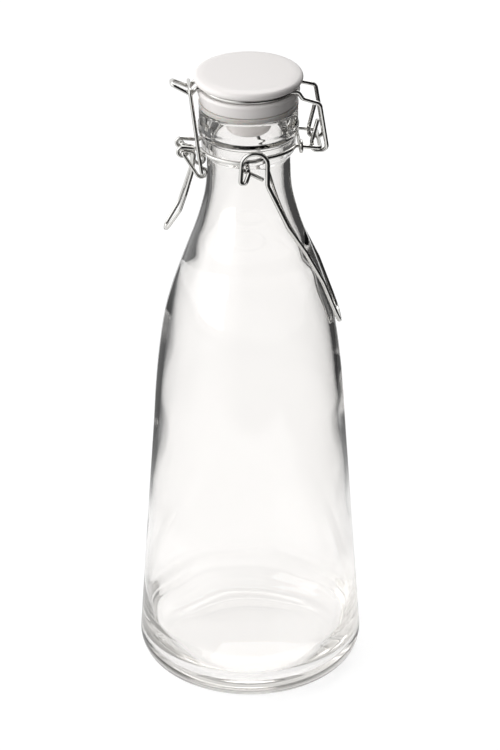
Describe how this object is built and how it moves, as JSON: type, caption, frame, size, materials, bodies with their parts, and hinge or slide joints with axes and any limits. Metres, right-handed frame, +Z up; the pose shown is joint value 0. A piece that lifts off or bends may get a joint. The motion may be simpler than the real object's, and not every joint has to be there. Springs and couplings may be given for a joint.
{
  "type": "milk bottle",
  "caption": "Clear glass swing-top milk bottle with a long sloping shoulder, a white porcelain stopper on a wire latch, and a wire carrying handle.",
  "frame": {"origin": "centre of the standing ring, on the ground plane", "axes": "+Z up along the bottle's axis, +X towards the lid's hinge, -X towards the latch lever, -Y the front"},
  "size_m": [0.1, 0.1, 0.287],
  "materials": {
    "clear_glass": "clear, smooth",
    "glazed_porcelain": "white glaze",
    "grey_rubber": "soft, pale grey",
    "neck_wire_hinge_steel": "bright plated wire",
    "neck_wire_latch_front_steel": "bright plated wire",
    "neck_wire_latch_back_steel": "bright plated wire",
    "hinge_tie_wire_steel": "bright plated wire",
    "lid_wire_steel": "bright plated wire",
    "latch_lever_steel": "bright plated wire",
    "latch_bail_steel": "bright plated wire",
    "carry_handle_steel": "bright plated wire"
  },
  "bodies": {
    "bottle": {"glass_bottle": "clear_glass", "neck_wire_hinge": "neck_wire_hinge_steel", "neck_wire_latch_front": "neck_wire_latch_front_steel", "neck_wire_latch_back": "neck_wire_latch_back_steel", "hinge_tie_wire": "hinge_tie_wire_steel"},
    "lid_wire": {"lid_wire": "lid_wire_steel"},
    "lid": {"lid_stopper": "glazed_porcelain", "lid_gasket": "grey_rubber"},
    "lever": {"latch_lever": "latch_lever_steel"},
    "bail": {"latch_bail": "latch_bail_steel"},
    "handle": {"carry_handle": "carry_handle_steel"}
  },
  "joints": [
    {"name": "lid_hinge", "type": "hinge", "parent": "bottle", "child": "lid_wire", "pos_m": [0.0298, 0, 0.25425], "axis": [0, 1, 0], "range_deg": [0, 180]},
    {"name": "lid_swivel", "type": "hinge", "parent": "lid_wire", "child": "lid", "pos_m": [0, 0, 0.2827], "axis": [0, 0, 1], "continuous": true},
    {"name": "lever_pivot", "type": "hinge", "parent": "bottle", "child": "lever", "pos_m": [-0.0285, 0, 0.25265], "axis": [0, 1, 0], "range_deg": [0, 150], "deforming": ["latch_bail"]},
    {"name": "bail_pivot", "type": "hinge", "parent": "lever", "child": "bail", "pos_m": [-0.0207, 0, 0.24345], "axis": [0, 1, 0], "range_deg": [-324, 0]},
    {"name": "handle_swing", "type": "hinge", "parent": "bottle", "child": "handle", "pos_m": [-0.0024, 0, 0.25365], "axis": [0, -1, 0], "range_deg": [0, 304]}
  ],
  "couplings": [
    {"joint": "bail_pivot", "follows": "lever_pivot", "ratio": -2.16}
  ]
}
